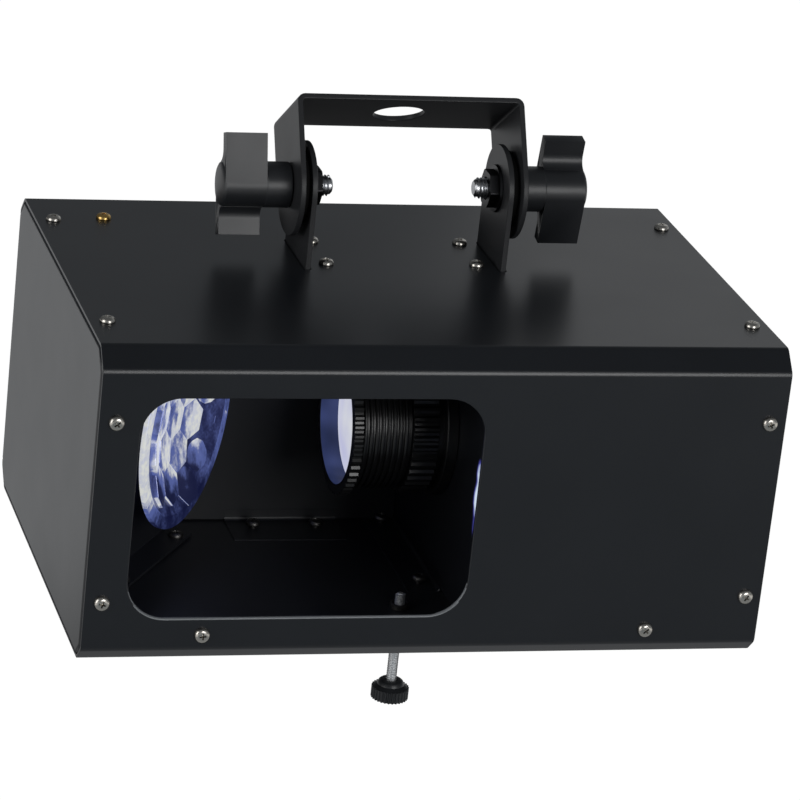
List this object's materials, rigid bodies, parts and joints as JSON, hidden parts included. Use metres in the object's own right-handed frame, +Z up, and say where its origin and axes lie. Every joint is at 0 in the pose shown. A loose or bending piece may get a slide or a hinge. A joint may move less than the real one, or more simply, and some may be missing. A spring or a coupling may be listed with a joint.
{
  "type": "moonflower effect light",
  "caption": "Hanging moonflower effect light: a black steel casing with a front window, a spinning faceted mirror lit sideways by a lens, and a swinging bracket with wing knobs.",
  "frame": {"origin": "middle of the hanging hole, on the outer face of the bracket's bar", "axes": "+X along the casing's width, to the right as seen from the front; +Y from the window's face to the rear; +Z up, with the casing level"},
  "size_m": [0.25, 0.171, 0.2132],
  "materials": {
    "black_paint": "satin black powder coat on folded steel",
    "black_plastic": "black moulded plastic",
    "rubber": "black rubber",
    "zinc": "zinc-plated steel",
    "nickel": "nickel-plated screws",
    "black_steel": "blackened steel",
    "brass": "plain brass",
    "mirror": "metallised facets",
    "glass": "clear optical glass",
    "aluminium": "plain extruded aluminium",
    "board": "green circuit board with its components",
    "led": "white board with the light source",
    "display": "dark red glossy window"
  },
  "bodies": {
    "bracket": {"hanging_bracket": "black_paint"},
    "casing": {"cover_shell": "black_paint", "left_side_panel": "black_paint", "right_side_panel": "black_paint", "base_plate": "black_paint", "rear_panel": "black_paint", "top_screw_front_left": "nickel", "top_screw_rear_left": "nickel", "top_screw_front_right": "nickel", "top_screw_rear_right": "nickel", "earth_screw": "brass", "left_ear": "black_paint", "right_ear": "black_paint", "ear_screw_left_front": "nickel", "ear_screw_left_rear": "nickel", "ear_screw_right_front": "nickel", "ear_screw_right_rear": "nickel", "left_friction_washer": "rubber", "right_friction_washer": "rubber", "left_ear_nut": "black_steel", "right_ear_nut": "black_steel", "foot_clinch_nut": "black_steel", "mirror_motor": "zinc", "mirror_motor_bracket": "black_paint", "rear_baffle": "black_paint", "bulkhead": "black_paint", "lens_barrel": "black_plastic", "gobo_motor": "zinc", "condenser_lens": "glass", "engine_plate": "black_paint", "led_module": "led", "heat_sink": "aluminium", "fan_frame": "black_plastic", "power_supply_board": "board", "control_board": "board", "display_window": "display", "mains_inlet": "black_plastic", "data_in_socket": "black_plastic", "data_out_socket": "black_plastic"},
    "left_bolt": {"left_knob_bolt": "zinc"},
    "left_knob": {"left_wing_knob": "black_plastic"},
    "right_bolt": {"right_knob_bolt": "zinc"},
    "right_knob": {"right_wing_knob": "black_plastic"},
    "foot_screw": {"foot_stud": "zinc"},
    "foot_grip": {"foot_knob": "black_plastic"},
    "mirror": {"mirror_dish": "mirror", "mirror_hub": "black_plastic", "mirror_shaft": "zinc"},
    "pattern_wheel": {"gobo_wheel": "black_steel", "gobo_shaft": "zinc"},
    "fan": {"fan_rotor": "black_plastic"},
    "focus_grip": {"focus_ring": "black_plastic"},
    "objective": {"objective_lens": "glass"},
    "lock_grip": {"lock_ring": "black_plastic"},
    "button_1": {"menu_button_1": "black_plastic"},
    "button_2": {"menu_button_2": "black_plastic"},
    "button_3": {"menu_button_3": "black_plastic"},
    "button_4": {"menu_button_4": "black_plastic"},
    "socket_latch": {"data_out_latch": "zinc"},
    "drawer": {"fuse_drawer": "black_plastic"}
  },
  "joints": [
    {"name": "casing_tilt", "type": "hinge", "parent": "bracket", "child": "casing", "pos_m": [0, -0.01607, -0.02474], "axis": [1, 0, 0], "range_deg": [-128, 62]},
    {"name": "left_bolt_travel", "type": "slide", "parent": "casing", "child": "left_bolt", "axis": [-1, 0, 0], "range_m": [0, 0.00624]},
    {"name": "left_knob_turn", "type": "hinge", "parent": "left_bolt", "child": "left_knob", "pos_m": [-0.05, -0.01607, -0.02474], "axis": [-1, 0, 0], "range_deg": [0, 1800]},
    {"name": "right_bolt_travel", "type": "slide", "parent": "casing", "child": "right_bolt", "axis": [1, 0, 0], "range_m": [0, 0.00624]},
    {"name": "right_knob_turn", "type": "hinge", "parent": "right_bolt", "child": "right_knob", "pos_m": [0.05, -0.01607, -0.02474], "axis": [1, 0, 0], "range_deg": [0, 1800]},
    {"name": "foot_screw_travel", "type": "slide", "parent": "casing", "child": "foot_screw", "axis": [0, 0, -1], "range_m": [-0.02519, 0.00349]},
    {"name": "foot_knob_turn", "type": "hinge", "parent": "foot_screw", "child": "foot_grip", "pos_m": [-0.0014, -0.07448, -0.2], "axis": [0, 0, -1], "range_deg": [-12960, 1800]},
    {"name": "mirror_spin", "type": "hinge", "parent": "casing", "child": "mirror", "pos_m": [-0.0773, -0.03708, -0.10899], "axis": [0.8191, -0.5736, 0], "continuous": true},
    {"name": "pattern_wheel_spin", "type": "hinge", "parent": "casing", "child": "pattern_wheel", "pos_m": [0.0262, -0.01108, -0.10899], "axis": [1, 0, 0], "continuous": true},
    {"name": "fan_spin", "type": "hinge", "parent": "casing", "child": "fan", "pos_m": [0.0717, 0.04172, -0.10899], "axis": [0, 1, 0], "continuous": true},
    {"name": "focus_ring_turn", "type": "hinge", "parent": "casing", "child": "focus_grip", "pos_m": [-0.02, -0.03708, -0.10899], "axis": [1, 0, 0], "range_deg": [0, 270]},
    {"name": "objective_travel", "type": "slide", "parent": "casing", "child": "objective", "axis": [1, 0, 0], "range_m": [-0.00447, 0]},
    {"name": "lock_ring_turn", "type": "hinge", "parent": "casing", "child": "lock_grip", "pos_m": [0.005, -0.03708, -0.10899], "axis": [1, 0, 0], "range_deg": [0, 30]},
    {"name": "button_1_press", "type": "slide", "parent": "casing", "child": "button_1", "axis": [0, -1, 0], "range_m": [0, 0.0008], "stiffness_N_per_m": 1500},
    {"name": "button_2_press", "type": "slide", "parent": "casing", "child": "button_2", "axis": [0, -1, 0], "range_m": [0, 0.0008], "stiffness_N_per_m": 1500},
    {"name": "button_3_press", "type": "slide", "parent": "casing", "child": "button_3", "axis": [0, -1, 0], "range_m": [0, 0.0008], "stiffness_N_per_m": 1500},
    {"name": "button_4_press", "type": "slide", "parent": "casing", "child": "button_4", "axis": [0, -1, 0], "range_m": [0, 0.0008], "stiffness_N_per_m": 1500},
    {"name": "socket_latch_press", "type": "slide", "parent": "casing", "child": "socket_latch", "axis": [0, 0, -1], "range_m": [0, 0.0015], "stiffness_N_per_m": 1500},
    {"name": "fuse_drawer_pull", "type": "slide", "parent": "casing", "child": "drawer", "axis": [0, 1, 0], "range_m": [0, 0.016]}
  ],
  "couplings": [
    {"joint": "left_knob_turn", "follows": "left_bolt_travel", "rad_per_m": 5026.5},
    {"joint": "right_knob_turn", "follows": "right_bolt_travel", "rad_per_m": 5026.5},
    {"joint": "foot_knob_turn", "follows": "foot_screw_travel", "rad_per_m": 8976},
    {"joint": "focus_ring_turn", "follows": "objective_travel", "rad_per_m": -1052.6}
  ]
}
